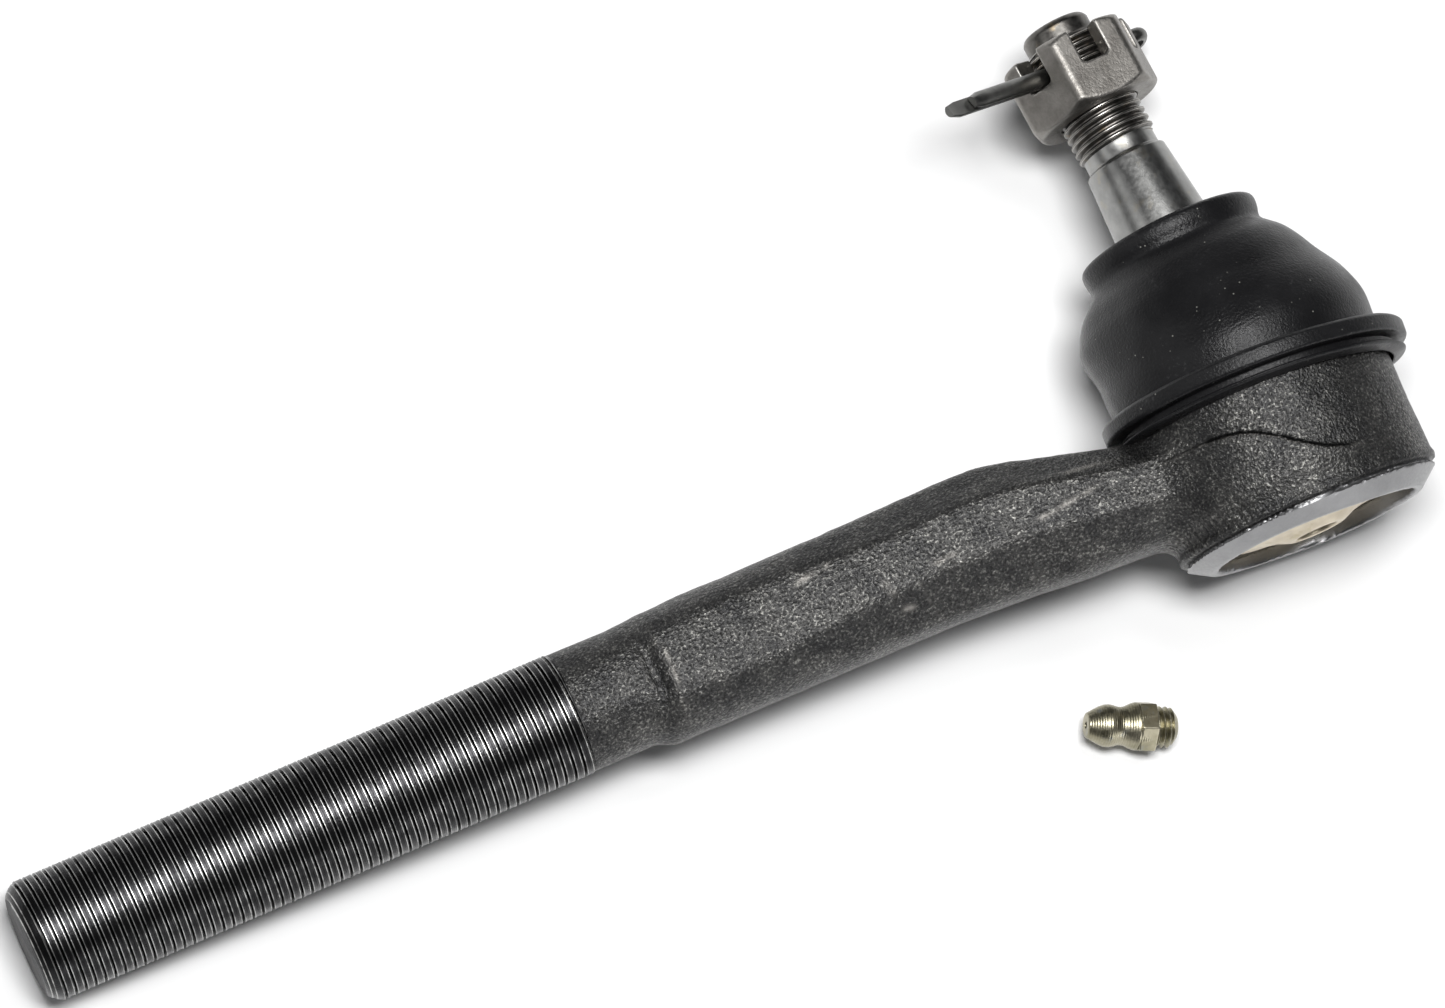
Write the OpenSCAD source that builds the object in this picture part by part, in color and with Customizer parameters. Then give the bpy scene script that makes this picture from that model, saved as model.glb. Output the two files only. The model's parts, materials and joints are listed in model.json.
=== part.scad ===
// Outer tie rod end: a forged housing with a threaded shank, a half-ball joint with a
// tapered stud, a rubber dust boot, a slotted nut with its cotter pin, and a loose
// grease fitting that screws into the bottom cover.
// Row frame, millimetres: origin at the ball centre, +X from the threaded end of the
// shank towards the housing, +Y along the housing axis towards the stud, +Z up with the
// part lying on its side.

/* [Shank] */
// Distance from the threaded end to the housing axis
shank_reach = 203.2; // [180:0.1:240]
// Major diameter of the shank thread, 3/4-16
shank_thread_d = 19.05; // [16:0.05:22]
// Length of the threaded part
shank_thread_len = 88.9; // [60:0.1:95]
// Diameter of the plain neck behind the thread
shank_neck_d = 18.6; // [15:0.1:19]
// Diameter of the forged arm
arm_d = 20.4; // [19:0.1:23]

/* [Housing] */
// Outer diameter of the forged housing
housing_d = 41.5; // [40:0.1:46]
// Depth of the rolled bottom rim below the ball centre
housing_bottom = 18; // [17.5:0.1:19]
// Diameter of the mouth inside the rolled rim
mouth_d = 31.9; // [30:0.1:32.4]
// Height of the housing neck above the ball centre
housing_top = 10; // [9.5:0.1:10.5]

/* [Ball joint] */
// Diameter of the half-ball bearing
ball_d = 24; // [23.6:0.1:24]
// Diameter of the stud journal inside the half-ball bearing
journal_d = 16; // [14:0.1:16]
// Largest swing of the stud away from the housing axis
cone_angle = 20; // [10:1:20]
// Thickness of the bottom cover plate
cover_t = 2; // [1.5:0.1:2.2]

/* [Stud] */
// Lean of the stud at rest, away from the housing axis
stud_lean = 5.35; // [0:0.1:10]
// Direction of the lean around the housing axis
lean_azimuth = 131.5; // [0:0.1:360]
// Thread diameter of the stud, 1/2-20
stud_thread_d = 12.7; // [10:0.1:12.7]
// Small diameter of the stud taper
taper_small_d = 13; // [12.9:0.1:14]
// Taper on diameter per unit of length
taper_rate = 0.1667; // [0.1:0.0001:0.17]
// Height of the small end of the taper above the ball centre
taper_top = 44.4; // [42:0.1:46]
// Height of the end of the stud above the ball centre
stud_top = 68; // [66:0.1:72]

/* [Nut and cotter pin] */
// Width of the slotted nut across its flats
nut_af = 19.05; // [17:0.05:20]
// Height of the slotted nut
nut_h = 11.2; // [10:0.1:12]
// Height of the nut's seat above the ball centre
nut_seat = 53.4; // [50:0.1:54]
// Width of each slot in the nut
slot_w = 4.6; // [3.6:0.1:5]
// Depth of each slot from the top of the nut
slot_depth = 5.4; // [4:0.1:6]
// Diameter of the two cotter pin legs together
cotter_d = 2.9; // [2:0.1:3.2]
// Direction of the cotter pin legs around the stud axis
cotter_azimuth = 221.5; // [0:0.5:360]
// How far the longer cotter leg reaches from the stud axis
cotter_reach = 32; // [20:0.5:40]

/* [Dust boot] */
// Outer diameter of the boot brim
brim_d = 49; // [47:0.1:52]
// Height of the boot lip's top above the ball centre
boot_top = 32; // [31:0.1:34]
// Wall thickness of the rubber
boot_wall = 2; // [1.4:0.1:2.4]

/* [Grease fitting] */
// Width of the fitting's hexagon across flats
fitting_af = 7.14; // [6.5:0.01:8]
// Thread diameter of the fitting, 1/4-28
fitting_thread_d = 6.35; // [5:0.05:6.4]
// How far the loose fitting lies from the ball centre, along X
fitting_x = -31.8; // [-60:0.1:-30]
// How far the loose fitting lies from the ball centre, along Y
fitting_y = -34.2; // [-60:0.1:-28]
// Height of the fitting's axis at its hexagon
fitting_z = -18.4; // [-19:0.1:-10]
// Direction of the loose fitting's nipple around Z
fitting_heading = 157; // [0:1:360]
// Rise of the nipple above level
fitting_rise = 10; // [0:1:12]

/* [Hidden] */
$fn = 96;

film = 0.3;               // grease film between curved faces that move on each other
running = 0.05;           // radial clearance of a running fit
ball_r = ball_d / 2;
journal_r = journal_d / 2;
head_r = ball_r - film;   // lower half of the ball, forged on the stud
head_depth = 7.5;         // flat underside of the stud head
seat_r = ball_r + film;   // spherical seat in the housing
cavity_r = 15.4;
cover_r = 16.5;
cover_seat = -14.6;       // shoulder that the cover plate bears on
rim_top = -15;            // where the rolled rim starts
brim_z = 5;               // underside of the boot brim
brim_t = 4.2;
boot_r = 21;              // outer radius of the boot above its brim
lip_r = 14.3;
stud_r = stud_thread_d / 2;
neck_h = 24;              // height where the stud taper begins
arm_pad_x = -24;          // where the arm meets the housing

function taper_r(h) = taper_small_d / 2 + (taper_top - h) * taper_rate / 2;

// Local Z onto the housing axis, which is row +Y.
module on_housing_axis() {
    rotate([-90, 0, 0]) children();
}

// Local Z onto the leaning stud axis.
module on_stud_axis() {
    on_housing_axis()
        rotate([0, 0, lean_azimuth]) rotate([0, stud_lean, 0]) rotate([0, 0, -lean_azimuth])
            children();
}

// Local Z onto the shank axis, which is row +X.
module on_shank_axis() {
    rotate([0, 90, 0]) children();
}

// Local Z onto the axis of the loose grease fitting, with its hexagon's flat down.
module on_fitting_axis() {
    translate([fitting_x, fitting_y, fitting_z])
        rotate([0, 0, fitting_heading]) rotate([0, 90 - fitting_rise, 0]) rotate([0, 0, 30])
            children();
}

module ring(r_out, r_in, z0, z1) {
    rotate_extrude()
        translate([r_in, z0]) square([r_out - r_in, z1 - z0]);
}

// One oval section of the arm, used as an end of a hull.
module arm_section(x, y, half_height, half_width) {
    translate([x, y, 0]) scale([1, half_height, half_width])
        rotate([0, 90, 0]) cylinder(r = 1, h = 0.2, $fn = 32);
}

module shank() {
    end_x = -shank_reach;
    swell = 6;
    chamfer = 1.6;
    thread_end = shank_thread_len;
    neck_end = thread_end + 8;
    arm_end = shank_reach - 50;
    translate([end_x, 0, 0]) on_shank_axis() rotate_extrude()
        polygon([[0, 0], [shank_thread_d / 2 - chamfer, 0], [shank_thread_d / 2, chamfer],
                 [shank_thread_d / 2, thread_end], [shank_neck_d / 2, thread_end + 1],
                 [shank_neck_d / 2, neck_end], [arm_d / 2, neck_end + swell],
                 [arm_d / 2, arm_end], [0, arm_end]]);
}

// The arm flattens and dips away from the stud as it runs into the housing.
module arm_blend() {
    hull() {
        arm_section(-56, 0, arm_d / 2, arm_d / 2);
        arm_section(arm_pad_x - 22, -0.6, 10.2, 10.8);
    }
    hull() {
        arm_section(arm_pad_x - 22, -0.6, 10.2, 10.8);
        arm_section(arm_pad_x - 2, -3.9, 8.4, 12.5);
    }
    hull() {
        arm_section(arm_pad_x - 2, -3.9, 8.4, 12.5);
        arm_section(arm_pad_x + 10, -4.4, 8.4, 14.5);
    }
}

module housing_shell() {
    r = housing_d / 2;
    on_housing_axis() rotate_extrude()
        polygon([[0, -housing_bottom], [mouth_d / 2 + 0.4, -housing_bottom], [r, rim_top],
                 [r, 2.5], [r - 1.8, 4.5], [18.2, 4.5], [18.2, 6.5], [14.8, housing_top],
                 [0, housing_top]]);
}

// Rolled mouth, cover recess, cavity, ball seat and the opening that lets the stud swing.
module housing_cavity() {
    seat_rim_z = 5.5;
    seat_rim_a = asin(seat_rim_z / seat_r);
    flare = tan(cone_angle);
    opening = seat_r * cos(seat_rim_a);
    arc = [for (i = [0:12]) let (a = seat_rim_a * i / 12) [seat_r * cos(a), seat_r * sin(a)]];
    over = housing_top + 1;
    on_housing_axis() rotate_extrude()
        polygon(concat(
            [[0, -housing_bottom - 1], [mouth_d / 2, -housing_bottom - 1],
             [mouth_d / 2, cover_seat - cover_t - 0.05], [cover_r + running, cover_seat - cover_t - 0.05],
             [cover_r + running, cover_seat], [cavity_r, cover_seat], [cavity_r, -4.6],
             [seat_r, -4.6]],
            arc,
            [[opening + (over - seat_rim_z) * flare, over], [0, over]]));
}

module housing() {
    color("dimgray") difference() {
        union() {
            shank();
            arm_blend();
            housing_shell();
        }
        housing_cavity();
    }
}

// Domed plate held by the rolled rim, with a threaded hole for the grease fitting.
module cover_plate() {
    rim_z = cover_seat - cover_t;
    flank_r = 13.4;
    boss_r = 5.2;
    apex = -housing_bottom - 0.9;
    color("burlywood") on_housing_axis() rotate_extrude()
        polygon([[fitting_thread_d / 2, apex], [boss_r, apex], [flank_r, rim_z],
                 [cover_r, rim_z], [cover_r, cover_seat], [flank_r, cover_seat],
                 [boss_r, apex + cover_t + 0.3], [fitting_thread_d / 2, apex + cover_t + 0.3]]);
}

// Disc spring that keeps the ball joint free of play.
module preload_spring() {
    t = 1.2;
    low = cover_seat;
    high = -11.9;
    color("slategray") on_housing_axis() rotate_extrude()
        polygon([[8.6, high - t], [14.4, low + 0.1], [14.4, low + 0.1 + t], [8.6, high]]);
}

// Cup under the stud head. It turns in the cavity with the direction of the swing.
module lower_bearing_seat() {
    cup_r = cavity_r - film;
    cup_top = -5;
    cup_bottom = -11.7;
    socket_r = ball_r;
    color("darkkhaki") on_housing_axis() difference() {
        translate([0, 0, cup_bottom]) cylinder(r = cup_r, h = cup_top - cup_bottom);
        intersection() {
            sphere(r = socket_r);
            translate([0, 0, -10.4]) cylinder(r = socket_r + 1, h = 12);
        }
        translate([0, 0, cup_bottom - 1]) cylinder(r = 3, h = 3);
    }
}

// Sintered upper half of the ball. It tilts in the housing and the stud turns inside it.
module half_ball_bearing() {
    low = 0.2;
    high = 7.4;
    color("peru") on_stud_axis() difference() {
        intersection() {
            sphere(r = ball_r);
            translate([0, 0, low]) cylinder(r = ball_r + 1, h = high - low);
        }
        cylinder(r = journal_r + running, h = housing_top);
    }
}

module ball_stud() {
    relief_r = stud_r - 0.6;
    relief_h = 2.2;
    tip_r = 5.3;
    crest_top = stud_top - 3;
    color("silver") on_stud_axis() difference() {
        union() {
            intersection() {
                sphere(r = head_r);
                translate([0, 0, -head_depth]) cylinder(r = head_r + 1, h = head_depth);
            }
            rotate_extrude()
                polygon([[0, -1], [journal_r, -1], [journal_r, neck_h - 1], [taper_r(neck_h), neck_h],
                         [taper_r(taper_top), taper_top], [relief_r, taper_top + 0.5],
                         [relief_r, taper_top + relief_h], [stud_r, taper_top + relief_h + 0.6],
                         [stud_r, crest_top], [tip_r, crest_top + 0.8], [tip_r, stud_top - 0.8],
                         [tip_r - 0.8, stud_top], [0, stud_top]]);
        }
        rotate([0, 0, cotter_azimuth]) translate([0, 0, cotter_height()])
            rotate([0, 90, 0]) cylinder(r = cotter_d / 2 + 0.5, h = 3 * stud_r, center = true);
    }
}

function cotter_height() = nut_seat + nut_h - slot_depth + cotter_d / 2 + 0.35;

// Hexagonal nut with six slots cut down from its top for the cotter pin.
module slotted_nut() {
    corner_r = nut_af / sqrt(3);
    chamfer = 1.4;
    color("gray") on_stud_axis() translate([0, 0, nut_seat]) rotate([0, 0, cotter_azimuth])
        difference() {
            intersection() {
                rotate([0, 0, 30]) cylinder(r = corner_r, h = nut_h, $fn = 6);
                rotate_extrude()
                    polygon([[0, 0], [nut_af / 2 - 0.4, 0], [corner_r, chamfer],
                             [corner_r, nut_h - chamfer / 2], [nut_af / 2, nut_h], [0, nut_h]]);
            }
            translate([0, 0, -1]) cylinder(r = stud_r + running, h = nut_h + 2);
            for (i = [0:5]) rotate([0, 0, 60 * i]) {
                translate([0, -slot_w / 2, nut_h - slot_depth])
                    cube([corner_r + 1, slot_w, slot_depth + 1]);
            }
        }
}

// Split pin of two half-round legs, one longer, bent from one wire with an open eye.
module cotter_pin() {
    leg_r = cotter_d / 2;
    split = 0.2;
    step = 5;
    eye_start = 12.6;
    eye_r = 2.4;
    wire_r = 1;
    color("darkslategray") on_stud_axis() rotate([0, 0, cotter_azimuth])
        translate([0, 0, cotter_height()]) {
            difference() {
                translate([-eye_start - 0.6, 0, 0]) rotate([0, 90, 0])
                    cylinder(r = leg_r, h = cotter_reach + eye_start + 0.6);
                translate([-eye_start + 1, -leg_r - 1, -split / 2])
                    cube([cotter_reach + eye_start, 2 * leg_r + 2, split]);
                translate([cotter_reach - step, -leg_r - 1, 0]) cube([step + 1, 2 * leg_r + 2, leg_r + 1]);
            }
            translate([-eye_start - eye_r, 0, 0]) rotate([90, 0, 0])
                rotate_extrude() translate([eye_r, 0]) circle(r = wire_r, $fn = 48);
        }
}

// Outer outline of the boot below its lip, around the housing axis.
module boot_outside() {
    rotate_extrude()
        polygon([[0, brim_z], [brim_d / 2 - 0.4, brim_z], [brim_d / 2, brim_z + 0.4],
                 [brim_d / 2, brim_z + brim_t - 0.8], [brim_d / 2 - 0.6, brim_z + brim_t],
                 [boot_r, brim_z + brim_t], [boot_r, 14], [20, 18.6], [18.4, 22.2],
                 [16, 24.6], [13, 26], [0, 26]]);
}

// Hollow of the boot around the housing neck, kept clear of the swinging stud.
module boot_inside() {
    r = boot_r - boot_wall;
    rotate_extrude()
        polygon([[0, brim_z - 1], [r, brim_z - 1], [r, 14], [18, 18.2], [16.5, 21],
                 [14.8, 22.8], [12, 24], [0, 24]]);
}

// Rubber boot: its body sits on the housing and its lip grips the leaning stud.
module dust_boot() {
    grip = 0.1;
    lip_bottom = boot_top - 8.5;
    recess = 1.3;
    color("#202022") difference() {
        union() {
            on_housing_axis() boot_outside();
            on_stud_axis() rotate_extrude()
                polygon([[0, lip_bottom], [lip_r, lip_bottom], [lip_r - 0.3, boot_top - 4.6],
                         [lip_r, boot_top - 3.2], [lip_r, boot_top - 1.4],
                         [lip_r - 1.6, boot_top], [0, boot_top]]);
        }
        on_housing_axis() boot_inside();
        on_housing_axis() ring(brim_d / 2 - 1.3, 15, brim_z - 1, brim_z + recess);
        on_stud_axis() rotate_extrude()
            polygon([[0, 0], [taper_r(neck_h) + grip, 0], [taper_r(neck_h) + grip, neck_h],
                     [taper_r(boot_top + 1) + grip, boot_top + 1], [0, boot_top + 1]]);
        on_stud_axis() ring(12.25, 10.75, 27.95, 30.05);
    }
}

// Steel stiffening ring let into the underside of the brim.
module boot_base_ring() {
    color("lightgray") on_housing_axis()
        ring(brim_d / 2 - 1.4, 19.6, brim_z, brim_z + 1.2);
}

// Steel ring moulded in the lip, which grips the stud taper.
module boot_lip_ring() {
    color("lightgray") on_stud_axis() ring(12.2, 10.8, 28, 30);
}

// Tapered thread, hexagon and ball-nosed nipple in one turned body with a stepped bore.
module fitting_body() {
    hex_h = 2.6;
    tip = 10.4;
    thread_len = 3.5;
    thread_r = fitting_thread_d / 2;
    color("darkkhaki") on_fitting_axis() difference() {
        union() {
            rotate_extrude()
                polygon([[0, -thread_len], [thread_r - 1.3, -thread_len], [thread_r - 0.2, -thread_len + 1.1],
                         [thread_r, 0], [3.5, hex_h], [3.65, hex_h + 0.3], [2.95, hex_h + 2.1],
                         [2.88, hex_h + 2.6], [3.1, hex_h + 3.4], [3.26, hex_h + 4.3],
                         [3.1, hex_h + 5.6], [2.6, hex_h + 6.9], [2, tip], [0, tip]]);
            cylinder(r = fitting_af / sqrt(3), h = hex_h, $fn = 6);
        }
        translate([0, 0, tip - 2]) cylinder(r = 0.6, h = 3);
        translate([0, 0, -thread_len - 1]) cylinder(r = 1.5, h = tip + thread_len - 0.2);
    }
}

// Ball that closes the nipple from inside.
module fitting_check_ball() {
    color("silver") on_fitting_axis() translate([0, 0, 7.8]) sphere(r = 1.25);
}

// Coil spring behind the check ball, drawn as a helix of round wire.
module fitting_spring() {
    wire_r = 0.2;
    coil_r = 1.1;
    turns = 5;
    low = -2.4;
    high = 6;
    sides = 6;
    steps = turns * 10;
    rise = high - low;
    points = [for (i = [0:steps], j = [0:sides - 1])
        let (a = 360 * turns * i / steps, b = 360 * j / sides, r = coil_r + wire_r * cos(b))
        [r * cos(a), r * sin(a), low + rise * i / steps + wire_r * sin(b)]];
    side_faces = [for (i = [0:steps - 1], j = [0:sides - 1], half = [0, 1])
        let (a = i * sides, b = a + sides, k = (j + 1) % sides)
        half == 0 ? [a + j, a + k, b + k] : [a + j, b + k, b + j]];
    cap_low = [[for (j = [sides - 1:-1:0]) j]];
    cap_high = [[for (j = [0:sides - 1]) steps * sides + j]];
    color("lightsteelblue") on_fitting_axis()
        polyhedron(points, concat(side_faces, cap_low, cap_high));
}

housing();
cover_plate();
preload_spring();
lower_bearing_seat();
half_ball_bearing();
ball_stud();
dust_boot();
boot_base_ring();
boot_lip_ring();
slotted_nut();
cotter_pin();
fitting_body();
fitting_check_ball();
fitting_spring();
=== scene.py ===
"""Looks of the tie rod end: helical threads, the forging's skin, the bent boot and every material."""

import json
import math

import bmesh
import bpy
import numpy as np
from mathutils import Matrix, Vector


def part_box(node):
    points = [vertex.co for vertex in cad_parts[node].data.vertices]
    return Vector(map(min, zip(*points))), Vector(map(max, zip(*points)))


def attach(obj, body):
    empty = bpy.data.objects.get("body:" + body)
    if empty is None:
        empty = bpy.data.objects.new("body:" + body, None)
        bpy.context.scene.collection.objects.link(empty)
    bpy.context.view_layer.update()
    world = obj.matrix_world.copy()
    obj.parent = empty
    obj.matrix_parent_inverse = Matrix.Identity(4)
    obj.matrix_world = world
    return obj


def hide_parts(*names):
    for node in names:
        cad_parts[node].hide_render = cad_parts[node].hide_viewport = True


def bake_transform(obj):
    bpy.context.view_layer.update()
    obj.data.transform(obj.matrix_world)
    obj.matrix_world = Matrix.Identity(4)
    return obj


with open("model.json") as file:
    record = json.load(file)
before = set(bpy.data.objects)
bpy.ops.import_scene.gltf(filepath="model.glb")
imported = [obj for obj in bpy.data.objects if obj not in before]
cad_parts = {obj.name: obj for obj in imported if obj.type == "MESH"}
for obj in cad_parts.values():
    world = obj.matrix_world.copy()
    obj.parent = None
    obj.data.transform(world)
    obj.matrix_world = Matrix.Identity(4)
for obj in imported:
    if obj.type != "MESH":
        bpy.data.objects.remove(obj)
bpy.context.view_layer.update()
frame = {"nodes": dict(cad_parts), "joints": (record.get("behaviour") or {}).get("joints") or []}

MM = 0.001
TAU = 2 * math.pi
INCH = 25.4

# Sizes are in millimetres, in the row frame: origin at the ball centre, +X towards the housing,
# +Y along the housing axis towards the stud, +Z up.

# Housing: threaded shank, drum, the collar under the boot, rolled rim and machined inside.
SHANK_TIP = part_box("housing")[0].x / MM + 0.5
SHANK_R = 0.75 * INCH / 2
SHANK_PITCH = INCH / 16
SHANK_THREAD_LENGTH = 3.48 * INCH
SHANK_THREAD_END = SHANK_TIP + SHANK_THREAD_LENGTH
HOUSING_R = 20.7
DRUM_TOP = 4.4
COLLAR_R = 18.2
COLLAR_TOP = 10.0
RIM_TOP = -15.5
RIM_BOTTOM = -18.5
RIM_R = 20.9
RIM_SIN, RIM_COS = math.sin(math.radians(58)), math.cos(math.radians(58))
MOUTH_R = 15.95
RECESS_R = 16.6
BORE_R = 15.4
BALL_SEAT_R = 12.3

# Stud, nut and cotter pin: heights are along the stud, from the ball centre.
STUD_R = INCH / 4
STUD_PITCH = INCH / 20
STUD_TIP_R = 5.4
TAPER_TOP = 44.4
TAPER_SMALL_R = 6.5
TAPER_SLOPE = 1 / 12
RELIEF_TOP = 46.6
STUD_TOP = 68.0
STUD_CREST_TOP = STUD_TOP - 3.0
NUT_SEAT = 52.9
NUT_H = 11.7
NUT_AF = 19.4
SLOT_W = 4.6
SLOT_DEPTH = 5.7
COTTER_R = 1.45
COTTER_REACH = 32.0
COTTER_NECK_X = -12.4
COTTER_EYE_X = -15.4
COTTER_EYE_R = 1.9
COTTER_HEIGHT = NUT_SEAT + NUT_H - SLOT_DEPTH + COTTER_R + 0.45
COTTER_AZIMUTH = math.radians(221.5)
COTTER_DROOP = math.radians(3)
COTTER_ROLL = math.radians(100)

# Boot: the heights between which its skin bends, its brim, and how its lip has settled.
BEND_START, BEND_END = 9.0, 28.0
BRIM_R = 24.1
LIP_HEIGHT = 31.0
LIP_SETTLE = math.radians(-2.4)

# Loose grease fitting: heights are along its own axis, from the hexagon's lower face.
FITTING_AF = 7.14
FITTING_HEX_H = 2.6
FITTING_HEX_TURN = math.radians(48)
FITTING_THREAD_R = INCH / 8
FITTING_PITCH = INCH / 28
FITTING_MIDDLE = 3.45

joints = {j["name"]: j for j in frame["joints"]}
STUD_AXIS = Vector(joints["stud_spin"]["axis"]).normalized()
TILT_AXIS = Vector(joints["stud_tilt"]["axis"]).normalized()
LEAN = math.acos(STUD_AXIS.y)

ON_HOUSING = Matrix.Rotation(-math.pi / 2, 4, "X")
ON_STUD = Matrix.Rotation(LEAN, 4, TILT_AXIS) @ ON_HOUSING
ON_SHANK = Matrix.Translation((SHANK_TIP, 0, 0)) @ Matrix.Rotation(math.pi / 2, 4, "Y")


# ---------------------------------------------------------------- numbers and noise

NOISE_TABLE = 4096
NOISE_KEYS = (73856093, 19349663, 83492791)


def smooth(t):
    """Smoothstep of t between 0 and 1."""
    t = np.clip(t, 0, 1)
    return t * t * (3 - 2 * t)


def ramp(value, start, end):
    """Smooth step from 0 at start to 1 at end; end may be the smaller of the two."""
    return smooth((value - start) / (end - start))


def hump(value, middle, reach):
    """Bell curve that is 1 at the middle."""
    return np.exp(-((value - middle) / reach) ** 2)


def soft_min(a, b, k):
    """The smaller of two fields, with the crease rounded over about k millimetres."""
    h = np.clip(0.5 + 0.5 * (b - a) / k, 0, 1)
    return b + (a - b) * h - k * h * (1 - h)


def soft_max(a, b, k):
    """The larger of two fields, with the crease rounded in the same way."""
    return -soft_min(-a, -b, k)


def noise(points, size, seed):
    """Smooth value noise between -1 and 1, with lumps about `size` millimetres across."""
    table = np.random.default_rng(seed).uniform(-1, 1, NOISE_TABLE)
    p = points / size
    cell = np.floor(p).astype(np.int64)
    f = smooth(p - cell)
    total = np.zeros(len(points))
    for corner in np.ndindex(2, 2, 2):
        key = np.zeros(len(points), np.int64)
        weight = np.ones(len(points))
        for axis, step in enumerate(corner):
            key ^= (cell[:, axis] + step) * NOISE_KEYS[axis]
            weight *= f[:, axis] if step else 1 - f[:, axis]
        total += weight * table[key & (NOISE_TABLE - 1)]
    return total


def around_axis(points, axis, angles):
    """Turns each point about an axis through the origin by its own angle."""
    n = np.array(axis)
    c, s = np.cos(angles)[:, None], np.sin(angles)[:, None]
    return points * c + np.cross(n, points) * s + n * (points @ n)[:, None] * (1 - c)


# ---------------------------------------------------------------- mesh makers

# Points around one turn of a thread.
THREAD_AROUND = 128


def add_object(name, data):
    """A new object in the scene."""
    obj = bpy.data.objects.new(name, data)
    bpy.context.scene.collection.objects.link(obj)
    return obj


def make_piece(name, points, faces, material, matrix=None, sharp=35):
    """A smooth-shaded mesh object from points in millimetres."""
    mesh = bpy.data.meshes.new(name)
    mesh.from_pydata((np.asarray(points, float) * MM).tolist(), [], [list(f) for f in faces])
    mesh.validate()
    if matrix is not None:
        placed = matrix.copy()
        placed.translation *= MM
        mesh.transform(placed)
    mesh.materials.append(material)
    mesh.polygons.foreach_set("use_smooth", [True] * len(mesh.polygons))
    mesh.set_sharp_from_angle(angle=math.radians(sharp))
    mesh.update()
    return add_object(name, mesh)


def weld(obj, distance=0.002):
    """Merges points that fall together, and drops the faces that vanish."""
    bm = bmesh.new()
    bm.from_mesh(obj.data)
    bmesh.ops.remove_doubles(bm, verts=bm.verts, dist=distance * MM)
    bmesh.ops.dissolve_degenerate(bm, edges=bm.edges, dist=distance * MM * 0.5)
    bmesh.ops.recalc_face_normals(bm, faces=bm.faces)
    bm.to_mesh(obj.data)
    bm.free()


def set_values(obj, name, values):
    """Stores one number per point for a material to read."""
    attribute = obj.data.attributes.new(name, "FLOAT", "POINT")
    attribute.data.foreach_set("value", np.asarray(values, np.float32))


def points_of(obj):
    """The mesh points of an object, in millimetres."""
    flat = np.zeros(len(obj.data.vertices) * 3)
    obj.data.vertices.foreach_get("co", flat)
    return flat.reshape(-1, 3) / MM


def mark_wear_and_edge_highlight(obj, gain):
    """Stores how far each point stands out from its neighbours: there the colour is lightened, partly
    as wear and partly as a painted edge highlight.
    """
    points = points_of(obj)
    flat = np.zeros(len(obj.data.edges) * 2, np.int64)
    obj.data.edges.foreach_get("vertices", flat)
    a, b = flat.reshape(-1, 2).T
    total = np.zeros_like(points)
    count = np.zeros(len(points))
    length = np.zeros(len(points))
    span = np.linalg.norm(points[a] - points[b], axis=1)
    for i, j in ((a, b), (b, a)):
        np.add.at(total, i, points[j])
        np.add.at(count, i, 1)
        np.add.at(length, i, span)
    count = np.maximum(count, 1)
    normals = np.zeros(len(points) * 3)
    obj.data.vertex_normals.foreach_get("vector", normals)
    rise = ((points - total / count[:, None]) * normals.reshape(-1, 3)).sum(1)
    set_values(obj, "wear_and_edge_highlight", np.clip(gain * rise / np.maximum(length / count, 1e-6), 0, 1))


def lathe(profile, around=128):
    """Points and faces of a closed outline of (radius, height) turned about local Z."""
    profile = np.asarray(profile, float)
    angles = np.arange(around) * TAU / around
    points = np.stack([np.outer(profile[:, 0], np.cos(angles)),
                       np.outer(profile[:, 0], np.sin(angles)),
                       np.repeat(profile[:, 1:2], around, 1)], -1).reshape(-1, 3)
    rows = len(profile)
    faces = []
    for i in range(rows):
        k = (i + 1) % rows
        for j in range(around):
            m = (j + 1) % around
            faces.append((i * around + j, i * around + m, k * around + m, k * around + j))
    return points, faces


def rounded(corners, radius, steps=4):
    """An outline with each corner replaced by a short arc of about this radius."""
    corners = np.asarray(corners, float)
    out = []
    for i, p in enumerate(corners):
        before, after = corners[i - 1] - p, corners[(i + 1) % len(corners)] - p
        reach = min(radius, 0.45 * np.linalg.norm(before), 0.45 * np.linalg.norm(after))
        a = p + before / max(np.linalg.norm(before), 1e-9) * reach
        b = p + after / max(np.linalg.norm(after), 1e-9) * reach
        for s in np.linspace(0, 1, steps):
            out.append((1 - s) ** 2 * a + 2 * s * (1 - s) * p + s * s * b)
    return np.array(out)


def thread_sheet(radius_at, pitch, low, high, phases, heights, depth):
    """The skin of a threaded rod along local Z, open at both ends. Its rows follow the helix, so
    each crest is a clean edge. radius_at(z) is the envelope; phases and heights give the
    thread's shape over a pitch. Returns the points, whose last two are the middles of the ends,
    the faces and how close to a crest each point is."""
    around = THREAD_AROUND
    turns = int(math.ceil((high - low) / pitch)) + 1
    angles = np.arange(around) * TAU / around
    rows = []
    for turn in range(-1, turns):
        for phase, height in zip(phases, heights):
            rows.append(((turn + phase) * pitch + low, height))
    z = np.array([r[0] for r in rows])[:, None] + pitch * angles[None, :] / TAU
    lift = np.repeat(np.array([r[1] for r in rows])[:, None], around, 1)
    inside = np.clip(z, low, high)
    r = np.minimum(radius_at(inside), radius_at((low + high) / 2) - depth * (1 - lift))
    points = np.stack([r * np.cos(angles), r * np.sin(angles), inside], -1).reshape(-1, 3)
    count = len(rows)
    faces = []
    for i in range(count - 1):
        for j in range(around - 1):
            faces.append((i * around + j, i * around + j + 1, (i + 1) * around + j + 1,
                          (i + 1) * around + j))
    step = len(phases)
    for i in range(count - 1):
        a, b = i * around + around - 1, (i + 1) * around + around - 1
        c, d = (i + step) * around, (i + 1 + step) * around
        if i + 1 + step < count:
            faces.append((a, c, d, b))
    points = np.vstack([points, [(0, 0, low), (0, 0, high)]])
    crest = np.append(lift.reshape(-1), (0, 0))
    return points, faces, crest


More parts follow.
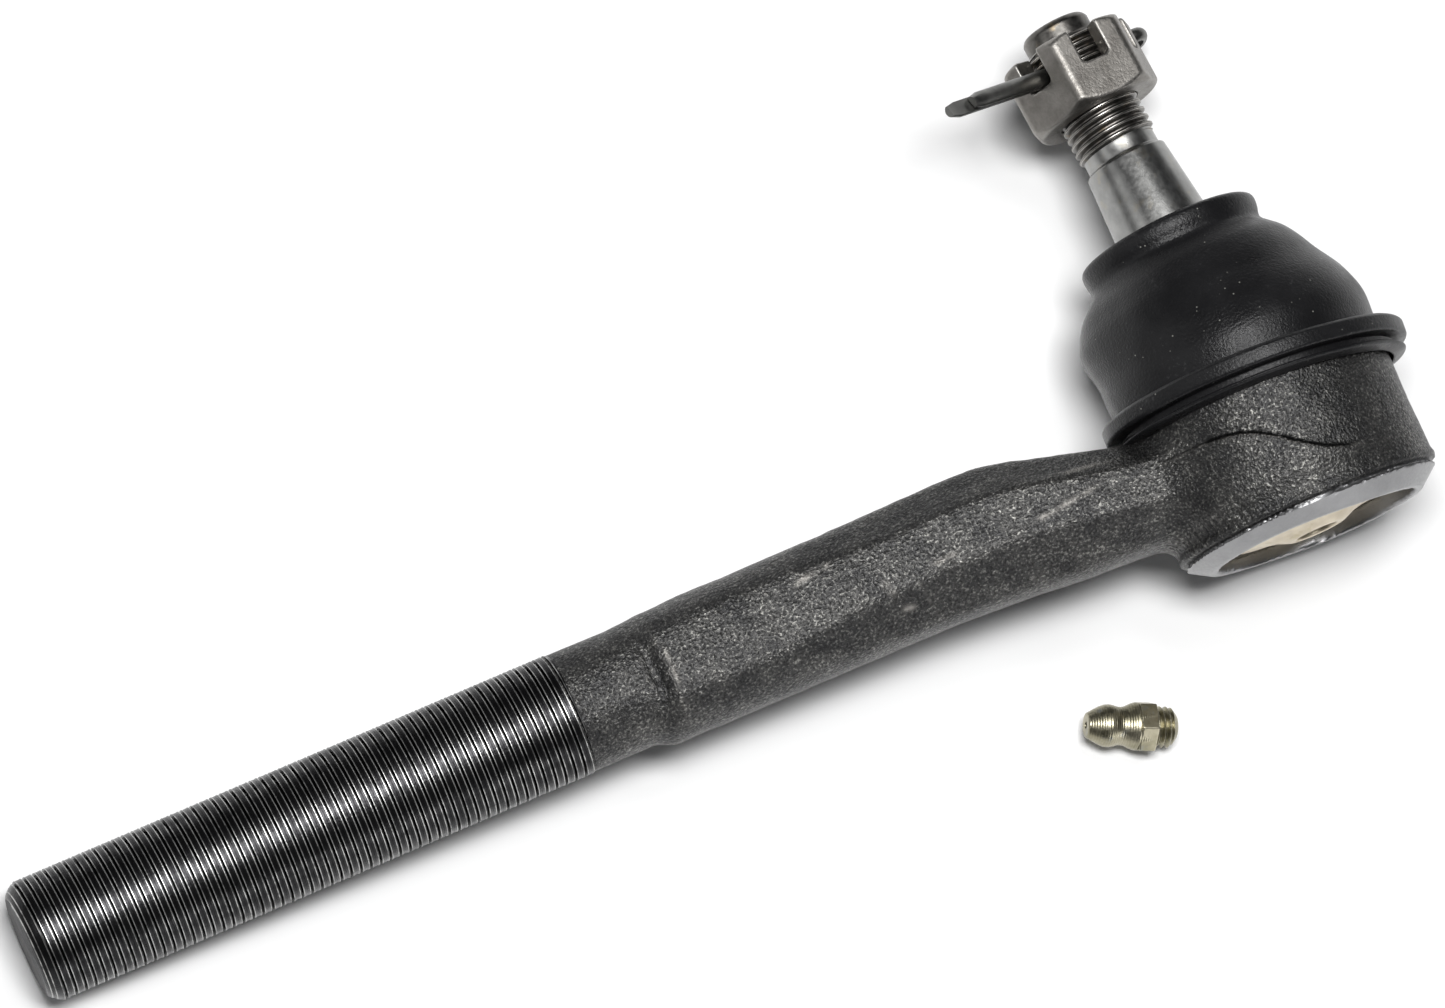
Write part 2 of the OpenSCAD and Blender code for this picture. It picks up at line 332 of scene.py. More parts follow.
def surface_net(field, low, high, step, settle=2):
    """Closed mesh of the surface where field(x, y, z) is zero. The field is below zero inside."""
    axes = [np.arange(a, b + step, step) for a, b in zip(low, high)]
    value = field(*np.meshgrid(*axes, indexing="ij")).astype(np.float64)
    inside = value < 0
    nx, ny, nz = (n - 1 for n in value.shape)
    count = np.zeros((nx, ny, nz), np.int8)
    for i, j, k in np.ndindex(2, 2, 2):
        count += inside[i:i + nx, j:j + ny, k:k + nz]
    mixed = (count > 0) & (count < 8)
    index = np.full(mixed.shape, -1, np.int64)
    cells = np.argwhere(mixed)
    index[mixed] = np.arange(len(cells))
    total, hits = np.zeros((len(cells), 3)), np.zeros(len(cells))
    for axis in range(3):
        along = np.eye(3, dtype=int)[axis]
        others = [np.eye(3, dtype=int)[a] for a in range(3) if a != axis]
        for a, b in np.ndindex(2, 2):
            start = cells + a * others[0] + b * others[1]
            v0, v1 = value[tuple(start.T)], value[tuple((start + along).T)]
            cross = (v0 < 0) != (v1 < 0)
            t = np.where(cross, v0 / np.where(cross, v0 - v1, 1), 0)
            total += np.where(cross[:, None], start + t[:, None] * along, 0)
            hits += cross
    points = np.array(low) + step * total / hits[:, None]
    for _ in range(settle):
        points = points - toward_zero(field, points, step)
    faces = []
    for axis in range(3):
        others = [a for a in range(3) if a != axis]
        here, there = [slice(1, -1)] * 3, [slice(1, -1)] * 3
        here[axis], there[axis] = slice(0, -1), slice(1, None)
        s0, s1 = inside[tuple(here)], inside[tuple(there)]
        node = np.argwhere(s0 != s1)
        flip = s0[tuple(node.T)]
        node = node + [0 if a == axis else 1 for a in range(3)]
        e1, e2 = (np.eye(3, dtype=int)[a] for a in others)
        quad = np.stack([index[tuple((node - e1 - e2).T)], index[tuple((node - e2).T)],
                         index[tuple(node.T)], index[tuple((node - e1).T)]], 1)
        turn = flip if axis != 1 else ~flip
        quad[~turn] = quad[~turn][:, ::-1]
        faces.append(quad)
    return points, np.concatenate(faces)


def toward_zero(field, points, step):
    """The short move that takes each point onto the field's zero surface."""
    tiny = step * 0.1
    x, y, z = points.T
    here = field(x, y, z)
    slope = np.stack([field(x + tiny, y, z) - field(x - tiny, y, z),
                      field(x, y + tiny, z) - field(x, y - tiny, z),
                      field(x, y, z + tiny) - field(x, y, z - tiny)], 1) / (2 * tiny)
    size = np.maximum((slope ** 2).sum(1), 0.05)
    move = (here / size)[:, None] * slope
    length = np.linalg.norm(move, axis=1, keepdims=True)
    return move * np.minimum(1, 0.6 * step / np.maximum(length, 1e-9))


# ---------------------------------------------------------------- materials

class Nodes:
    """A short way to write a material's node tree."""

    def __init__(self, name):
        self.material = bpy.data.materials.new(name)
        self.material.use_nodes = True
        self.tree = self.material.node_tree
        self.shader = self.tree.nodes["Principled BSDF"]
        self.place = self.add("ShaderNodeTexCoord").outputs["Object"]

    def add(self, kind, **values):
        node = self.tree.nodes.new(kind)
        for key, value in values.items():
            setattr(node, key, value)
        return node

    def link(self, source, target):
        self.tree.links.new(source, target)

    def put(self, socket, value):
        if isinstance(value, bpy.types.NodeSocket):
            self.link(value, socket)
        else:
            socket.default_value = value

    def noise(self, size_mm, detail=3.0, rough=0.55):
        node = self.add("ShaderNodeTexNoise", noise_type="FBM")
        self.link(self.place, node.inputs["Vector"])
        node.inputs["Scale"].default_value = 1 / (size_mm * MM)
        node.inputs["Detail"].default_value = detail
        node.inputs["Roughness"].default_value = rough
        return node.outputs["Fac"]

    def cells(self, size_mm):
        node = self.add("ShaderNodeTexVoronoi", feature="F1")
        self.link(self.place, node.inputs["Vector"])
        node.inputs["Scale"].default_value = 1 / (size_mm * MM)
        return node.outputs["Distance"]

    def span(self, value, low, high, out_low=0.0, out_high=1.0):
        """A smooth step from out_low, where value is low, to out_high, where it is high."""
        node = self.add("ShaderNodeMapRange", interpolation_type="SMOOTHSTEP")
        self.link(value, node.inputs["Value"])
        for key, number in (("From Min", low), ("From Max", high), ("To Min", out_low),
                            ("To Max", out_high)):
            node.inputs[key].default_value = number
        return node.outputs["Result"]

    def math(self, operation, a, b=0.0):
        node = self.add("ShaderNodeMath", operation=operation)
        self.put(node.inputs[0], a)
        self.put(node.inputs[1], b)
        return node.outputs[0]

    def mix(self, share, a, b):
        """Colour a where share is 0 and b where it is 1. Inputs 6 and 7 are the node's colours."""
        node = self.add("ShaderNodeMix", data_type="RGBA")
        self.put(node.inputs[0], share)
        self.put(node.inputs[6], a if isinstance(a, bpy.types.NodeSocket) else (*a, 1))
        self.put(node.inputs[7], b if isinstance(b, bpy.types.NodeSocket) else (*b, 1))
        return node.outputs[2]

    def attribute(self, name):
        return self.add("ShaderNodeAttribute", attribute_name=name).outputs["Fac"]

    def bump(self, height, depth_mm, strength=1.0):
        node = self.add("ShaderNodeBump")
        self.link(height, node.inputs["Height"])
        node.inputs["Distance"].default_value = depth_mm * MM
        node.inputs["Strength"].default_value = strength
        return node.outputs["Normal"]

    def finish(self, **sockets):
        """Fills the shader's inputs, named with _ for each space, and gives the material."""
        for key, value in sockets.items():
            self.put(self.shader.inputs[key.replace("_", " ")], value)
        return self.material


def forged_material():
    """Dark mill scale over a pebbly forged skin, bare where it was machined or rubbed, with painted
    glints on the grain, edges and rubbed spots lightened partly by painted highlight, and painted
    shade along the pad's step and in the rim's groove.
    """
    n = Nodes("forged_scale")
    grain = n.noise(0.43, 2.5, 0.6)
    lumps = n.noise(0.68, 2.0, 0.5)
    patches = n.noise(5, 5, 0.62)
    colour = n.mix(n.span(patches, 0.3, 0.7), (0.040, 0.040, 0.041), (0.076, 0.075, 0.073))
    # Bright specks where the grain stands highest are painted glints.
    painted_glint = n.math("MULTIPLY", n.span(grain, 0.54, 0.66), n.span(patches, 0.4, 0.7, 0.3, 0.7))
    colour = n.mix(painted_glint, colour, (0.34, 0.335, 0.31))
    pit = n.span(grain, 0.47, 0.36)
    colour = n.mix(n.math("MULTIPLY", pit, 0.6), colour, (0.015, 0.015, 0.015))
    # Worn edges and rubbed spots are lightened: partly wear, partly painted highlights on edges and
    # ridges.
    wear_and_edge_highlight = n.math("MULTIPLY", n.attribute("wear_and_edge_highlight"), n.span(n.noise(0.8, 3), 0.35, 0.6))
    colour = n.mix(n.math("MAXIMUM", wear_and_edge_highlight, n.attribute("spots_and_highlights")), colour, (0.42, 0.40, 0.37))
    bare = n.attribute("bare")
    turned = n.noise(2.5, 4, 0.6)
    colour = n.mix(bare, colour, n.mix(turned, (0.23, 0.23, 0.235), (0.33, 0.33, 0.335)))
    # Painted shadow along the pad's step on the socket, and painted shade in the groove under the
    # rim.
    colour = n.mix(n.attribute("painted_lap_and_groove_shade"), colour, (0.010, 0.010, 0.010))
    rough = n.span(grain, 0.3, 0.7, 0.50, 0.35)
    rough = n.math("ADD", rough, n.math("MULTIPLY", bare, -0.06))
    height = n.math("ADD", grain, n.math("MULTIPLY", lumps, 0.9))
    height = n.math("MULTIPLY", height, n.math("SUBTRACT", 1.0, n.math("MULTIPLY", bare, 0.9)))
    return n.finish(Base_Color=colour, Metallic=0.9, Roughness=rough,
                    Normal=n.bump(height, 0.24, 1.0))


def black_thread_material():
    """Black phosphate lightened along the edges of the thread's crests, partly as rubbed wear and
    partly as painted highlight, with painted shade darkening its grooves.
    """
    n = Nodes("black_phosphate")
    edge = n.span(n.attribute("crest"), 0.97, 1.0)
    patch = n.noise(2.4, 5, 0.65)
    # Crest edges rubbed bright, partly as wear and partly as painted highlight.
    worn_and_crest_highlight = n.math("MULTIPLY", edge, n.span(patch, 0.36, 0.58, 0.25, 1.0))
    colour = n.mix(n.span(patch, 0.3, 0.7), (0.012, 0.012, 0.013), (0.026, 0.026, 0.027))
    # Painted shade: the thread's grooves are darkened.
    colour = n.mix(n.span(n.attribute("crest"), 0.75, 0.35), colour, (0.010, 0.010, 0.010))
    colour = n.mix(worn_and_crest_highlight, colour, (0.46, 0.46, 0.45))
    colour = n.mix(n.attribute("face"), colour, (0.030, 0.030, 0.031))
    rough = n.math("ADD", n.span(patch, 0.3, 0.7, 0.36, 0.26), n.math("MULTIPLY", worn_and_crest_highlight, 0.08))
    rough = n.math("ADD", rough, n.math("MULTIPLY", n.attribute("face"), 0.25))
    return n.finish(Base_Color=colour, Metallic=0.9, Roughness=rough,
                    Normal=n.bump(n.noise(0.35, 3), 0.05, 0.8))


def rubber_material():
    """Black moulded rubber with a fine skin texture and a few specks of dust."""
    n = Nodes("boot_rubber")
    fine = n.noise(0.45, 3, 0.6)
    cloud = n.noise(6, 4)
    base = n.mix(cloud, (0.006, 0.006, 0.0065), (0.013, 0.013, 0.014))
    dust = n.math("MULTIPLY", n.span(n.cells(1.3), 0.12, 0.05), n.span(n.noise(4, 2), 0.5, 0.6))
    scuff = n.math("MULTIPLY", n.span(n.noise(0.7, 5, 0.7), 0.56, 0.66), n.span(cloud, 0.5, 0.7))
    colour = n.mix(n.math("MULTIPLY", scuff, 0.35), base, (0.09, 0.09, 0.09))
    colour = n.mix(dust, colour, (0.22, 0.22, 0.20))
    rough = n.span(cloud, 0.3, 0.7, 0.27, 0.40)
    return n.finish(Base_Color=colour, Roughness=rough, Specular_IOR_Level=0.22,
                    Normal=n.bump(n.math("ADD", fine, cloud), 0.13, 0.8))


def steel_material(name, dark, light, rough, grain_mm=0.6, metal=1.0, depth=0.02, tint=None,
                   edge=(0.72, 0.70, 0.66)):
    """Bare or plated steel: cloudy between two colours, with bright edges that are partly wear and
    partly painted highlight, and a fine grain.
    rough is its lowest and highest roughness, and tint a third colour that comes in patches."""
    n = Nodes(name)
    cloud = n.noise(4.0, 5, 0.62)
    grain = n.noise(grain_mm, 3, 0.6)
    colour = n.mix(n.span(cloud, 0.3, 0.7), dark, light)
    if tint is not None:
        colour = n.mix(n.span(n.noise(2.2, 4), 0.56, 0.74, 0.0, 0.6), colour, tint)
    # Edges lightened towards the edge colour: partly wear, partly painted highlight.
    colour = n.mix(n.attribute("wear_and_edge_highlight"), colour, edge)
    return n.finish(Base_Color=colour, Metallic=metal, Roughness=n.span(grain, 0.3, 0.7, *rough),
                    Normal=n.bump(grain, depth, 0.6))


forged = forged_material()
black_thread = black_thread_material()
rubber = rubber_material()
ground = steel_material("ground_steel", (0.27, 0.27, 0.265), (0.36, 0.36, 0.35), (0.29, 0.37),
                        grain_mm=0.8, tint=(0.36, 0.33, 0.27))
raw_steel = steel_material("stud_end_steel", (0.10, 0.097, 0.090), (0.20, 0.19, 0.178),
                           (0.29, 0.42), tint=(0.30, 0.24, 0.16))
nut_steel = steel_material("nut_steel", (0.185, 0.174, 0.16), (0.30, 0.286, 0.266), (0.38, 0.52),
                           grain_mm=0.45, depth=0.09, edge=(0.62, 0.61, 0.58))
pin_steel = steel_material("pin_steel", (0.10, 0.10, 0.095), (0.17, 0.17, 0.16), (0.30, 0.42),
                           edge=(0.35, 0.35, 0.34))
zinc = steel_material("cover_zinc", (0.54, 0.47, 0.36), (0.72, 0.65, 0.52), (0.40, 0.55),
                      grain_mm=0.5, metal=0.75, depth=0.03, tint=(0.47, 0.40, 0.25))
olive = steel_material("fitting_zinc", (0.22, 0.205, 0.135), (0.40, 0.37, 0.275), (0.30, 0.42),
                       grain_mm=0.35, tint=(0.26, 0.28, 0.29), edge=(0.62, 0.60, 0.50))
ring_steel = steel_material("ring_steel", (0.5, 0.5, 0.5), (0.65, 0.65, 0.65), (0.3, 0.4))
seat_steel = steel_material("seat_steel", (0.30, 0.29, 0.26), (0.40, 0.39, 0.36), (0.45, 0.6))
bronze = steel_material("sintered_bronze", (0.42, 0.27, 0.12), (0.55, 0.38, 0.20), (0.4, 0.55))
spring_steel = steel_material("spring_steel", (0.20, 0.20, 0.21), (0.32, 0.32, 0.33), (0.3, 0.4))
ball_steel = steel_material("ball_steel", (0.65, 0.65, 0.66), (0.75, 0.75, 0.76), (0.08, 0.14))


# ---------------------------------------------------------------- housing

# Rubbed spots on the arm, partly painted highlights along its ridges and across the neck's step: X,
# Y, half length, half width and turn in degrees.
SCUFFS_AND_HIGHLIGHTS = ((-74.2, 3.9, 3.6, 0.45, 8), (-64.5, -2.8, 0.8, 1.3, 20), (-62.6, -6.2, 1.1, 0.4, -10),
          (-59.5, -5.3, 0.3, 1.4, 15), (-98.9, 0.3, 0.35, 3.6, 0), (-55.0, -1.9, 2.2, 0.4, 4),
          (-36.0, -1.6, 6.0, 0.35, 6), (-30.0, 2.6, 5.5, 0.35, -8))


def arm_shape(x):
    """Middle height, half height and half width of the arm at x."""
    top = 9.8 + 0.35 * hump(x, -50, 9) - 6.2 * ramp(x, -48, -15)
    bottom = -10.45 - 2.0 * ramp(x, -60, -16)
    half_width = 10.5 + 1.9 * ramp(x, -60, -16)
    # Beside the thread the arm steps down to a thinner neck.
    top = top - 0.5 * ramp(x, -98.8, -105.6)
    bottom = bottom + 1.15 * ramp(x, -101.1, -105.1)
    half_width = half_width - 1.6 * (1 - np.clip((x + 101.8) / 2.2, 0, 1))
    return (top + bottom) / 2, (top - bottom) / 2, half_width


def arm_field(x, y, z):
    """The arm: an oval bar with three hammered facets on each face of the forging."""
    middle, half_height, half_width = arm_shape(x)
    power = 2 + 0.4 * ramp(x, -98, -48)
    u, v = (y - middle) / half_height, np.abs(z) / half_width
    size = np.minimum(half_height, half_width)
    body = ((np.abs(u) ** power + v ** power) ** (1 / power) - 1) * size
    face = 0.90 + 0.1 * ramp(x, -101, -103) + 0.045 * ramp(x, -90, -65)
    side = 1.03 - 0.075 * ramp(x, -88, -58)
    crown = 0.16 - 0.12 * ramp(x, -90, -45)
    for tilt, reach in ((3, face), (-35, side), (48, side + 0.01)):
        a = math.radians(tilt)
        across = u * math.cos(a) - v * math.sin(a)
        flat = u * math.sin(a) + v * math.cos(a) - reach + crown * across ** 2
        body = soft_max(body, flat * size, 0.45)
    return np.maximum(np.maximum(body, SHANK_THREAD_END - 1.0 - x), x - 4)


def slab(value, low, high):
    """A field that is below zero between low and high."""
    return np.maximum(low - value, value - high)


def cavity_field(radial, y):
    """Everything machined out of the housing, from the mouth up to the flared opening."""
    mouth = np.maximum(radial - MOUTH_R, y + 12)
    recess = np.maximum(radial - RECESS_R, slab(y, -16.7, -14.6))
    bore = np.maximum(radial - BORE_R, slab(y, -15.0, -4.6))
    ball = np.hypot(radial, y) - BALL_SEAT_R
    flare = math.radians(20)
    opening = (radial - 8.91 - math.tan(flare) * y) * math.cos(flare)
    return np.minimum.reduce([mouth, recess, bore, ball, np.maximum(opening, 3 - y)])


def pad_edge(x):
    """Height of the forging step that crosses the socket, at x."""
    return -1.6 - 10.0 / (1 + np.exp(-(x + 2.2) / 3.2))


def rim_level(x, y):
    """Height in the rim's own scale: the rolled rim is deeper on the side away from the arm."""
    return RIM_TOP + (y - RIM_TOP) / (1 + 0.27 * ramp(x, -12, 10))


def rim_field(radial, level):
    """Outside of the rolled rim: a cone with a step groove under the forging's trimmed edge."""
    slope = (radial - RIM_R) * RIM_COS + (RIM_TOP - 0.7 - level) * RIM_SIN
    groove = ramp(level, RIM_TOP - 0.05, RIM_TOP - 0.4) * ramp(level, RIM_TOP - 1.05, RIM_TOP - 0.75)
    return slope + 0.6 * groove


def socket_field(x, y, z, radial, level):
    """The drum, with a flash line and a raised pad on each face, and the collar above it."""
    flash = 0.25 * hump(y, -15.2, 0.6)
    pad = smooth((pad_edge(x) - y) / 0.4 + 0.5) * ramp(y, -14.5, -11.0)
    pad = 0.75 * pad * ramp(np.abs(z), 8, 13) * ramp(x, 9.5, 5.5)
    side = radial - HOUSING_R - flash - pad
    low = soft_max(rim_field(radial, level), RIM_BOTTOM - level, 0.35)
    drum = np.maximum(np.maximum(side, low), y - DRUM_TOP)
    collar = np.maximum(radial - COLLAR_R + np.clip(y - 6.5, 0, 4), y - COLLAR_TOP)
    return np.minimum(drum, collar)


def housing_field(x, y, z):
    """The whole forging: socket and arm run together, trimmed at the rim and bored out."""
    radial = np.hypot(x, z)
    level = rim_level(x, y)
    body = soft_min(socket_field(x, y, z, radial, level), arm_field(x, y, z), 3.2)
    near_rim = (x > -24) & (y < RIM_TOP)
    body = np.where(near_rim, np.maximum(body, rim_field(radial, level)), body)
    body = np.maximum(body, RIM_BOTTOM - level)
    return np.maximum(body, -cavity_field(radial, y))


def rubbed_spots_and_highlights(points):
    """Flakes and scuffs on the camera side of the arm, some of them painted highlights along ridges
    and the neck's step, as a share of bare metal per point.
    """
    spots_and_highlights = np.zeros(len(points))
    for x, y, long, wide, turn in SCUFFS_AND_HIGHLIGHTS:
        c, s = math.cos(math.radians(turn)), math.sin(math.radians(turn))
        u = (points[:, 0] - x) * c + (points[:, 1] - y) * s
        v = (points[:, 1] - y) * c - (points[:, 0] - x) * s
        spots_and_highlights = np.maximum(spots_and_highlights, np.exp(-(u / long) ** 4 - (v / wide) ** 2))
    return spots_and_highlights * (points[:, 2] > 0) * (0.25 + 0.6 * np.clip(noise(points, 1.3, 8), -0.3, 0.6))


def bare_share(points):
    """Share of bare steel at each point: the rolled rim and everything machined are bare."""
    x, y, z = points.T
    radial = np.hypot(x, z)
    lip = ramp(radial, RECESS_R - 0.5, RECESS_R) * ramp(y, RIM_TOP - 0.5, RIM_TOP - 0.9)
    inside = (radial < 17.5) & (x > -20)
    return np.maximum(lip, inside) * (x > -23)


def skin_direction(points):
    """Unit directions away from the arm's middle line or, at the socket, from its axis."""
    x = points[:, 0]
    away = points - np.stack([x, arm_shape(x)[0], 0 * x], 1)
    away = np.where((x > -20)[:, None], points * (1, 0, 1), away)
    return away / np.maximum(np.linalg.norm(away, axis=1, keepdims=True), 1e-6)


def skin_relief(points, spots_and_highlights):
    """Height of the forged skin: lumps, sheared marks above the rim, and the rubbed spots, whose
    colour is partly painted highlight.
    """
    x, y, z = points.T
    lumps = (0.14 * noise(points, 7.0, 3) + 0.07 * noise(points, 2.6, 4)
             + 0.035 * noise(points, 1.1, 5))
    arc = np.arctan2(z, x) * 20
    sheared = (ramp(y, RIM_TOP + 4.5, RIM_TOP + 2.0) * ramp(y, RIM_TOP - 0.3, RIM_TOP + 0.2)
               * ramp(x, -9, -13) * ramp(x, -26, -22))
    marks = 0.10 * sheared * np.sin(arc * TAU / 1.25 + 3 * noise(points, 4.0, 6))
    return lumps + marks + 0.12 * spots_and_highlights


def build_forging():
    """Socket and arm as one skin, with what the material needs to know at each point."""
    step = 0.4
    low, high = (SHANK_THREAD_END - 2, -20.5, -23), (23, 11.5, 23)
    points, faces = surface_net(housing_field, low, high, step)
    bare, spots_and_highlights = bare_share(points), rubbed_spots_and_highlights(points)
    relief = skin_relief(points, spots_and_highlights) * np.clip(1 - bare, 0, 1)
    points = points + skin_direction(points) * relief[:, None]
    piece = make_piece("housing_forging", points, faces, forged, sharp=50)
    x, y, z = points.T
    on_socket = (x > -13) & (x < 6) & (np.abs(z) > 9)
    groove = hump(y, RIM_TOP - 0.6, 0.3) * (x > -20)
    set_values(piece, "bare", bare)
    # Painted shadow along the pad's step and painted shade in the rim's groove, for the material to
    # darken.
    set_values(piece, "painted_lap_and_groove_shade", np.maximum(hump(y, pad_edge(x), 0.5) * on_socket, 0.25 * groove))
    # Convex edges above the rim are lightened: partly wear, partly painted edge highlight.
    mark_wear_and_edge_highlight(piece, 1.2 * ramp(y, RIM_TOP + 0.5, RIM_TOP + 1.5))
    # Rubbed spots: partly scuffed scale, partly painted highlights along ridges and the neck's step.
    set_values(piece, "spots_and_highlights", np.clip(spots_and_highlights, 0, 1))
    return piece


def shank_envelope(z):
    """Largest radius of the shank thread at this distance from its rounded end."""
    rounded_end = SHANK_R - 2.2 + 2.2 * np.sqrt(np.clip(z / 2.1, 0, 1))
    run_out = SHANK_R - 0.5 * ramp(z, SHANK_THREAD_LENGTH - 0.6, SHANK_THREAD_LENGTH + 0.6)
    return np.minimum(rounded_end, run_out)


def build_shank_thread():
    """The large thread. Its flat crests have a shallow seam, as rolled threads do."""
    phases = (0.00, 0.03, 0.10, 0.14, 0.34, 0.37, 0.395, 0.425, 0.61, 0.65, 0.72, 0.75, 0.83, 0.90)
    heights = (0.88, 1.0, 1.0, 0.93, 0.93, 0.86, 0.86, 0.93, 0.93, 1.0, 1.0, 0.88, 0.0, 0.0)
    sheet = thread_sheet(shank_envelope, SHANK_PITCH, 0, SHANK_THREAD_LENGTH, phases, heights, 0.78)
    return threaded_piece("shank_thread", *sheet, 0, SHANK_THREAD_LENGTH, black_thread, ON_SHANK)


def threaded_piece(name, points, faces, crest, low, high, material, matrix):
    """Closes a threaded sheet with a fan at each end and stores its crest values."""
    around = THREAD_AROUND
    rows = (len(points) - 2) // around
    z = points[:-2, 2].reshape(rows, around)
    at_low, at_high = np.abs(z - low) < 1e-9, np.abs(z - high) < 1e-9
    low_ring = rows - 1 - np.argmax(at_low[::-1], 0)
    high_ring = np.argmax(at_high, 0)
    for j in range(around):
        k = (j + 1) % around
        a, b = int(low_ring[j]) * around + j, int(low_ring[k]) * around + k
        c, d = int(high_ring[j]) * around + j, int(high_ring[k]) * around + k
        faces.append((len(points) - 2, b, a))
        faces.append((len(points) - 1, c, d))
    piece = make_piece(name, points, faces, material, matrix, sharp=40)
    set_values(piece, "crest", crest)
    # Crest edges are lightened: partly rubbed wear, partly painted highlight.
    set_values(piece, "wear_and_edge_highlight", 0.6 * np.clip((crest - 0.95) / 0.05, 0, 1))
    set_values(piece, "face", np.abs(points[:, 2] - low) < 0.02)
    weld(piece, 0.003)
    return piece


# ---------------------------------------------------------------- boot

def boot_profile():
    """Outside and inside of the skin as it is moulded, as (radius, height) lines."""
    outside = [(20.3, 3.6), (20.9, 6.0), (21.1, 9.0), (21.1, 11.5), (20.8, 14.0), (20.5, 16.5),
               (19.9, 19.0), (19.1, 21.2), (18.0, 23.0), (16.7, 24.7), (15.3, 26.1), (14.35, 27.1),
               (13.95, 27.9), (14.0, 28.7), (14.2, 29.5), (14.3, 30.5), (14.15, 31.25),
               (13.6, 31.7), (12.4, 31.9), (10.4, 31.9), (8.6, 31.7), (7.75, 31.3)]
    inside = [(7.9, 27.0), (9.5, 25.6), (12.5, 24.6), (15.0, 22.8), (16.9, 20.6), (18.2, 17.6),
              (18.9, 13.5), (19.1, 9.0), (19.0, 3.6)]
    return outside, inside


def finer(line, parts):
    """The same line of points with smooth in-between points (Catmull-Rom)."""
    line = np.asarray(line, float)
    padded = np.vstack([2 * line[0] - line[1], line, 2 * line[-1] - line[-2]])
    out = []
    for i in range(1, len(padded) - 2):
        p0, p1, p2, p3 = padded[i - 1:i + 3]
        for t in np.arange(parts) / parts:
            out.append(0.5 * (2 * p1 + (p2 - p0) * t + (2 * p0 - 5 * p1 + 4 * p2 - p3) * t * t
                              + (3 * p1 - p0 - 3 * p2 + p3) * t ** 3))
    out.append(line[-1])
    return np.array(out)


def boot_swell(points):
    """How far the skin stands out from its moulded shape: it bulges where the leaning stud
    crowds it, and is drawn in on the far side."""
    height = points[:, 2]
    radial = np.hypot(points[:, 0], points[:, 1])
    lean_x, lean_y = STUD_AXIS.x, -STUD_AXIS.z
    lean_size = math.hypot(lean_x, lean_y)
    toward = (points[:, 0] * lean_x + points[:, 1] * lean_y) / np.maximum(radial * lean_size, 1e-6)
    near, far = smooth(toward), smooth(-toward)
    swell = near * (0.9 * hump(height, 24.6, 2.9) + 1.4 * hump(height, 20.3, 4.2))
    swell += far * (0.2 * hump(height, 11.5, 3.5) - 1.7 * hump(height, 20.4, 4.6))
    return (swell + 0.14 * noise(points, 9, 11)) * ramp(radial, 9, 13)


def build_boot():
    """The skin, swollen, bent over with the stud, and with its lip settled a little."""
    outside, inside = boot_profile()
    points, faces = lathe(np.vstack([finer(outside, 4), finer(inside, 2)]), 192)
    height = points[:, 2].copy()
    radial = np.hypot(points[:, 0], points[:, 1])
    points[:, :2] *= (1 + boot_swell(points) / np.maximum(radial, 1))[:, None]
    upright = points @ np.array(ON_HOUSING.to_3x3()).T
    bent = around_axis(upright, TILT_AXIS, LEAN * ramp(height, BEND_START, BEND_END))
    lip = np.array(STUD_AXIS) * LIP_HEIGHT
    bent = lip + around_axis(bent - lip, Vector((0, 0, 1)), LIP_SETTLE * ramp(height, 22, 29))
    piece = make_piece("dust_boot_skin", bent, faces, rubber, sharp=60)
    set_values(piece, "wear_and_edge_highlight", np.zeros(len(bent)))
    return piece


def brim_place():
    """The brim sits a little crooked on the housing's shoulder."""
    return (Matrix.Translation((0.5, 4.5, 0)) @ Matrix.Rotation(math.radians(-3.5), 4, "Z")
            @ Matrix.Rotation(math.radians(-2.5), 4, "X") @ ON_HOUSING)


def build_brim():
    """Two rubber flanges with an open groove between them; the upper one is the wider."""
    outline = rounded([(21.0, 2.35), (23.7, 2.1), (24.15, 1.6), (BRIM_R, -0.3), (23.8, -0.65),
                       (21.6, -0.75), (21.5, -1.8), (23.1, -1.9), (23.3, -2.15), (23.0, -2.5),
                       (21.3, -3.0), (20.95, -2.9), (20.95, 0.2), (19.3, 0.2), (19.3, 2.6)], 0.22)
    points, faces = lathe(outline, 192)
    points = points + 0.08 * noise(points, 6, 21)[:, None] * (0, 0, 1)
    return make_piece("boot_brim", points, faces, rubber, brim_place(), sharp=40)


def build_brim_ring():
    """Steel ring moulded into the upper flange."""
    points, faces = lathe([(21.3, 0.1), (23.1, 0.1), (23.1, 1.2), (21.3, 1.2)], 96)
    return make_piece("boot_brim_ring", points, faces, ring_steel, brim_place())


# ---------------------------------------------------------------- stud, nut and pin

HEX_SIDES = (0, math.pi / 3, 2 * math.pi / 3)


def hexagon(x, y, across_flats, k):
    """A hexagonal bar along z with its flats facing the angles of HEX_SIDES."""
    flats = [np.abs(x * math.cos(a) + y * math.sin(a)) - across_flats / 2 for a in HEX_SIDES]
    return soft_max(soft_max(flats[0], flats[1], k), flats[2], k)


def turned(x, y, angle):
    """The same place in axes that are turned about z by the angle."""
    c, s = math.cos(angle), math.sin(angle)
    return x * c + y * s, -x * s + y * c


def cone(radial, edge_r, rise, across=0.62, along=0.785):
    """A conical chamfer that is edge_r wide where rise is zero and narrows as rise grows."""
    return (radial - edge_r) * across + rise * along


def taper_r(height):
    """Radius of the stud's taper."""
    return TAPER_SMALL_R + (TAPER_TOP - height) * TAPER_SLOPE


